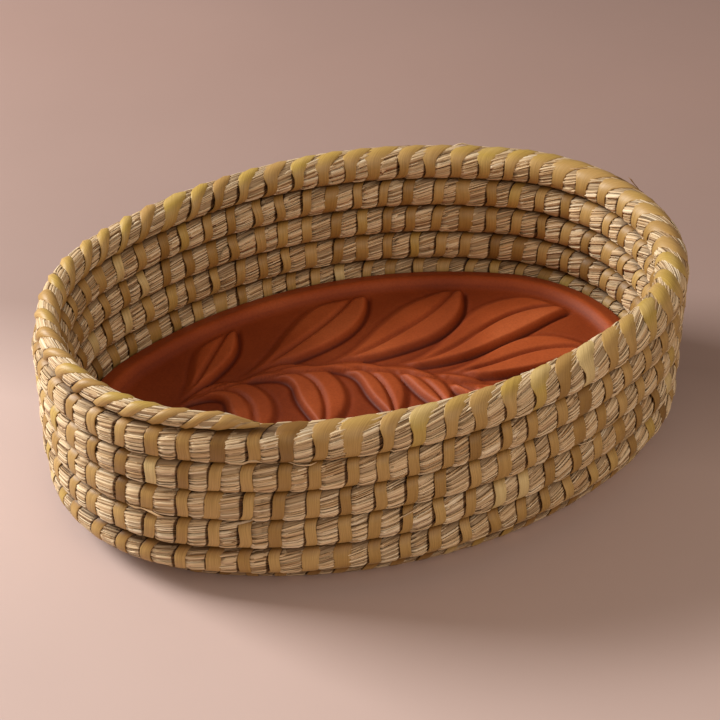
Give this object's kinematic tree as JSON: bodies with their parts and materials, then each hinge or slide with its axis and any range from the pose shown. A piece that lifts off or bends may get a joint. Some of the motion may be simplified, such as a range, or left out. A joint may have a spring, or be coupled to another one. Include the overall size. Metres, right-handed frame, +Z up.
{
  "type": "bread warmer",
  "caption": "Oval open basket of coiled grass sewn with leaf strips, with a loose clay warming tile, raised at its lip and moulded with a leaf frond, lying on its floor.",
  "frame": {"origin": "centre of the basket's plan on the plane it stands on", "axes": "+X along the basket's length, +Y across it towards the back of the pictured view, +Z up"},
  "size_m": [0.3294, 0.2238, 0.1065],
  "materials": {
    "grass": "matte dried grass",
    "leaf_strip": "matte dried palm leaf",
    "terracotta": "unglazed, lightly burnished"
  },
  "bodies": {
    "basket": {"floor_coil": "grass", "wall_coil": "grass", "floor_stitches": "leaf_strip", "course_1_stitches": "leaf_strip", "course_2_stitches": "leaf_strip", "course_3_stitches": "leaf_strip", "course_4_stitches": "leaf_strip", "course_5_stitches": "leaf_strip", "course_6_stitches": "leaf_strip"},
    "tile": {"warming_tile": "terracotta"}
  },
  "joints": [
    {"name": "tile_lift", "type": "slide", "parent": "basket", "child": "tile", "axis": [0, 0, 1], "range_m": [0, 0.12]}
  ]
}
